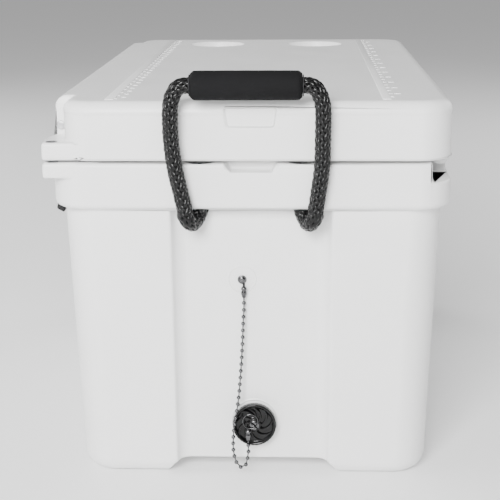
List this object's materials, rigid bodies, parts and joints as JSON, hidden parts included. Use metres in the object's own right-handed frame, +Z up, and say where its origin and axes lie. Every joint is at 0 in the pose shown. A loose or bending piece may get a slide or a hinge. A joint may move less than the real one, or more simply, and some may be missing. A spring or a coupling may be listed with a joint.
{
  "type": "wheeled cooler box",
  "caption": "Hard insulated cooler with a hinged lid, rubber latches, rope carry handles, a tethered drain plug and wheels under one end.",
  "frame": {"origin": "on the ground under the middle of the tub", "axes": "+X towards the drain end, +Y towards the hinge side, +Z up"},
  "size_m": [0.797, 0.4448, 0.4711],
  "materials": {
    "white_plastic": "rotomoulded polyethylene, finely textured, satin",
    "foam": "rigid insulating foam",
    "black_rubber": "moulded rubber, matt",
    "gasket_rubber": "soft moulded seal",
    "steel": "stainless steel, turned",
    "bright_steel": "polished stainless steel",
    "black_plastic": "moulded, glossy",
    "wheel_plastic": "moulded, satin",
    "rope": "braided rope",
    "grip_foam": "closed-cell foam grip",
    "tyre": "solid rubber"
  },
  "bodies": {
    "tub": {"tub_skin": "white_plastic", "tub_foam": "foam", "tub_foam_plugs": "white_plastic", "tub_lock_bushes": "steel", "hinge_rod_near": "steel", "hinge_rod_far": "steel", "drain_fitting": "black_plastic", "drain_nut": "black_plastic", "drain_seal": "gasket_rubber", "drain_plug_gasket": "gasket_rubber", "tether_eye": "bright_steel", "split_ring": "bright_steel", "chain_screw": "bright_steel", "chain_coupling_top": "bright_steel", "chain_coupling_bottom": "bright_steel", "ball_chain": "bright_steel", "rope_ends_near": "rope", "rope_bends_near": "rope", "rope_ends_far": "rope", "rope_bends_far": "rope", "axle": "steel", "axle_bushes": "wheel_plastic", "wheel_washers": "steel", "axle_caps": "steel"},
    "lid": {"lid_skin": "white_plastic", "lid_foam": "foam", "lid_foam_plugs": "white_plastic", "lid_lock_bushes": "steel", "lid_gasket": "gasket_rubber", "latch_pin_near": "steel", "latch_pin_far": "steel"},
    "latch_near": {"latch_near": "black_rubber"},
    "latch_far": {"latch_far": "black_rubber"},
    "handle_near": {"rope_run_near": "rope", "grip_near": "grip_foam", "grip_washers_near": "black_rubber"},
    "handle_far": {"rope_run_far": "rope", "grip_far": "grip_foam", "grip_washers_far": "black_rubber"},
    "drain_plug": {"drain_plug": "black_plastic"},
    "wheel_front": {"wheel_hub_front": "wheel_plastic", "tyre_front": "tyre"},
    "wheel_back": {"wheel_hub_back": "wheel_plastic", "tyre_back": "tyre"}
  },
  "joints": [
    {"name": "lid_hinge", "type": "hinge", "parent": "tub", "child": "lid", "pos_m": [0, 0.2054, 0.373], "axis": [-1, 0, 0], "range_deg": [0, 97]},
    {"name": "latch_near_pivot", "type": "hinge", "parent": "lid", "child": "latch_near", "pos_m": [0.263, -0.2124, 0.403], "axis": [-1, 0, 0], "range_deg": [0, 115]},
    {"name": "latch_far_pivot", "type": "hinge", "parent": "lid", "child": "latch_far", "pos_m": [-0.263, -0.2124, 0.403], "axis": [-1, 0, 0], "range_deg": [0, 115]},
    {"name": "handle_near_swing", "type": "hinge", "parent": "tub", "child": "handle_near", "pos_m": [0.3665, 0, 0.3104], "axis": [0, 1, 0], "range_deg": [0, 160], "deforming": ["rope_bends_near"]},
    {"name": "handle_far_swing", "type": "hinge", "parent": "tub", "child": "handle_far", "pos_m": [-0.3665, 0, 0.3104], "axis": [0, 1, 0], "range_deg": [0, 150], "deforming": ["rope_bends_far"]},
    {"name": "drain_plug_turn", "type": "hinge", "parent": "tub", "child": "drain_plug", "pos_m": [0.34, 0.002, 0.063], "axis": [1, 0, 0], "range_deg": [0, 90]},
    {"name": "wheel_front_spin", "type": "hinge", "parent": "tub", "child": "wheel_front", "pos_m": [-0.283, -0.17, 0.07], "axis": [0, 1, 0], "continuous": true},
    {"name": "wheel_back_spin", "type": "hinge", "parent": "tub", "child": "wheel_back", "pos_m": [-0.283, 0.17, 0.07], "axis": [0, 1, 0], "continuous": true}
  ]
}
